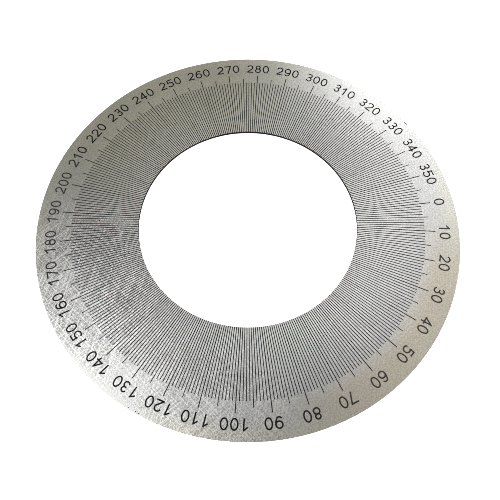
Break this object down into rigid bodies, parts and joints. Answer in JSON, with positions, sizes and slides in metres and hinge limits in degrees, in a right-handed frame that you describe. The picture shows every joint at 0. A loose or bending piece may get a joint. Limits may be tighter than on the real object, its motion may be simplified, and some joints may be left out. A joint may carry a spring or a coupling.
{
  "type": "graduated dial plate",
  "caption": "Flat round sheet-metal dial plate with a large bore and a full-circle degree scale in black-filled lines and numerals.",
  "frame": {"origin": "centre of the bore on the plate's back face", "axes": "+Z out through the marked face, along the bore; +X from the centre along the zero line"},
  "size_m": [0.2, 0.2, 0.0015],
  "materials": {
    "steel": "satin",
    "enamel": "matt black fill"
  },
  "bodies": {
    "root": {"dial_plate": "steel", "one_degree_marks": "enamel", "five_degree_marks": "enamel", "ten_degree_marks": "enamel", "numeral_0": "enamel", "numeral_10": "enamel", "numeral_20": "enamel", "numeral_30": "enamel", "numeral_40": "enamel", "numeral_50": "enamel", "numeral_60": "enamel", "numeral_70": "enamel", "numeral_80": "enamel", "numeral_90": "enamel", "numeral_100": "enamel", "numeral_110": "enamel", "numeral_120": "enamel", "numeral_130": "enamel", "numeral_140": "enamel", "numeral_150": "enamel", "numeral_160": "enamel", "numeral_170": "enamel", "numeral_180": "enamel", "numeral_190": "enamel", "numeral_200": "enamel", "numeral_210": "enamel", "numeral_220": "enamel", "numeral_230": "enamel", "numeral_240": "enamel", "numeral_250": "enamel", "numeral_260": "enamel", "numeral_270": "enamel", "numeral_280": "enamel", "numeral_290": "enamel", "numeral_300": "enamel", "numeral_310": "enamel", "numeral_320": "enamel", "numeral_330": "enamel", "numeral_340": "enamel", "numeral_350": "enamel"}
  },
  "joints": []
}
